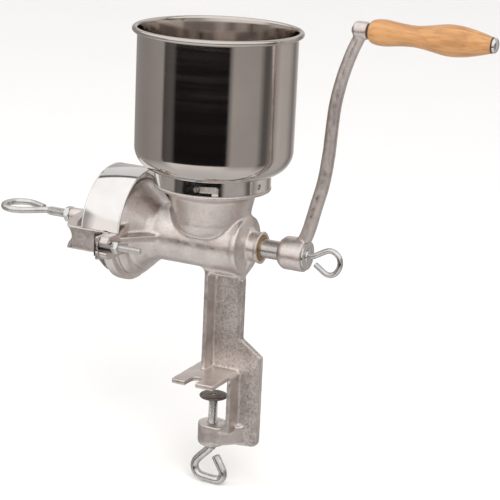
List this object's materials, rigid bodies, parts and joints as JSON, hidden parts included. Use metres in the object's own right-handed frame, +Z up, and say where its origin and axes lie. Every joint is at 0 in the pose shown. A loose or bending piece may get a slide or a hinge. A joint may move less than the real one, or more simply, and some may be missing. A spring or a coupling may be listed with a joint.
{
  "type": "hand grain mill",
  "caption": "Hand-cranked burr mill with a steel hopper, a cast body that clamps to a table edge, an adjusting screw, a guard over the burrs and a wooden crank grip.",
  "frame": {"origin": "underside of the table seat, on the table screw's axis", "axes": "+Z up along the table screw, +X along the barrel toward the crank, +Y away from the side that shows the throat's rounded front with the burrs at the left"},
  "size_m": [0.4494, 0.142, 0.4239],
  "materials": {
    "cast_tin": "tinned cast iron, satin, faintly rough",
    "polished_steel": "polished spun stainless steel",
    "ring_steel": "polished",
    "guard_chrome": "mirror chrome",
    "zinc_wire": "bright zinc plated",
    "dark_steel": "black oxide, knurled",
    "plain_steel": "machined steel",
    "burr_iron": "bare hardened cast iron",
    "bronze": "sintered bronze",
    "pad_iron": "grey, oxidised",
    "grip_wood": "varnished beech",
    "washer_dark": "dark lacquered steel"
  },
  "bodies": {
    "frame": {"body_casting": "cast_tin", "throat_casting": "cast_tin", "seat_casting": "cast_tin", "bearing_bush": "bronze", "bayonet_pins": "plain_steel", "fixed_burr": "burr_iron", "fixed_burr_screws": "plain_steel", "bridge": "cast_tin"},
    "hopper": {"hopper_bowl": "polished_steel", "hopper_neck_ring": "ring_steel"},
    "ball": {"thrust_ball": "ring_steel"},
    "drive": {"auger_shaft": "plain_steel", "feed_screw": "burr_iron", "rotating_burr": "burr_iron", "rotating_burr_screws": "plain_steel", "burr_driver": "cast_tin", "driver_pin": "plain_steel", "crank_arm": "cast_tin", "grip_spindle": "plain_steel", "grip_washers": "washer_dark", "grip_cap": "ring_steel"},
    "grip": {"grip": "grip_wood"},
    "adjuster": {"adjusting_screw": "zinc_wire"},
    "lock_nut": {"adjusting_lock_nut": "zinc_wire"},
    "guard": {"guard": "guard_chrome"},
    "front_clamp": {"clamp_screw_front": "dark_steel", "clamp_washer_front": "zinc_wire"},
    "front_nut": {"clamp_nut_front": "zinc_wire"},
    "rear_clamp": {"clamp_screw_rear": "dark_steel", "clamp_washer_rear": "zinc_wire"},
    "rear_nut": {"clamp_nut_rear": "zinc_wire"},
    "crank_washer": {"crank_washer": "zinc_wire"},
    "crank_screw": {"crank_screw": "zinc_wire"},
    "pad": {"table_pad": "pad_iron"},
    "table_screw": {"table_screw": "zinc_wire"}
  },
  "joints": [
    {"name": "hopper_twist", "type": "hinge", "parent": "frame", "child": "hopper", "pos_m": [-0.009, 0, 0.178], "axis": [0, 0, 1], "range_deg": [-18, 0]},
    {"name": "burr_set", "type": "slide", "parent": "frame", "child": "ball", "axis": [1, 0, 0], "range_m": [-0.004, 0.0003]},
    {"name": "crank_turn", "type": "hinge", "parent": "ball", "child": "drive", "pos_m": [0, 0, 0.1185], "axis": [1, 0, 0], "continuous": true},
    {"name": "grip_spin", "type": "hinge", "parent": "drive", "child": "grip", "pos_m": [0.17, 0, 0.3095], "axis": [1, 0, 0], "continuous": true},
    {"name": "adjuster_turn", "type": "hinge", "parent": "ball", "child": "adjuster", "pos_m": [-0.16, 0, 0.1185], "axis": [1, 0, 0], "range_deg": [-1155, 90]},
    {"name": "lock_nut_turn", "type": "hinge", "parent": "frame", "child": "lock_nut", "pos_m": [-0.15, 0, 0.1185], "axis": [1, 0, 0], "range_deg": [-90, 0]},
    {"name": "guard_lift", "type": "slide", "parent": "frame", "child": "guard", "axis": [0, 0, 1], "range_m": [0, 0.012]},
    {"name": "front_clamp_travel", "type": "slide", "parent": "frame", "child": "front_clamp", "axis": [1, 0, 0], "range_m": [-0.018, 0]},
    {"name": "front_nut_turn", "type": "hinge", "parent": "frame", "child": "front_nut", "pos_m": [-0.066, -0.0595, 0.1153], "axis": [1, 0, 0], "range_deg": [0, 6485]},
    {"name": "rear_clamp_travel", "type": "slide", "parent": "frame", "child": "rear_clamp", "axis": [1, 0, 0], "range_m": [-0.018, 0]},
    {"name": "rear_nut_turn", "type": "hinge", "parent": "frame", "child": "rear_nut", "pos_m": [-0.066, 0.0595, 0.1153], "axis": [1, 0, 0], "range_deg": [0, 6485]},
    {"name": "crank_screw_travel", "type": "slide", "parent": "drive", "child": "crank_washer", "axis": [1, 0, 0], "range_m": [0, 0.014]},
    {"name": "crank_screw_turn", "type": "hinge", "parent": "crank_washer", "child": "crank_screw", "pos_m": [0.085, 0, 0.1185], "axis": [1, 0, 0], "range_deg": [0, 6305]},
    {"name": "pad_travel", "type": "slide", "parent": "frame", "child": "pad", "axis": [0, 0, 1], "range_m": [-0.0215, 0.001]},
    {"name": "table_screw_turn", "type": "hinge", "parent": "pad", "child": "table_screw", "pos_m": [0, 0, -0.05], "axis": [0, 0, 1], "range_deg": [-6200, 290]}
  ],
  "couplings": [
    {"joint": "adjuster_turn", "follows": "burr_set", "rad_per_m": 5026.5},
    {"joint": "front_nut_turn", "follows": "front_clamp_travel", "rad_per_m": -6283.2},
    {"joint": "rear_nut_turn", "follows": "rear_clamp_travel", "rad_per_m": -6283.2},
    {"joint": "crank_screw_turn", "follows": "crank_screw_travel", "rad_per_m": 7854},
    {"joint": "table_screw_turn", "follows": "pad_travel", "rad_per_m": 5026.5}
  ]
}
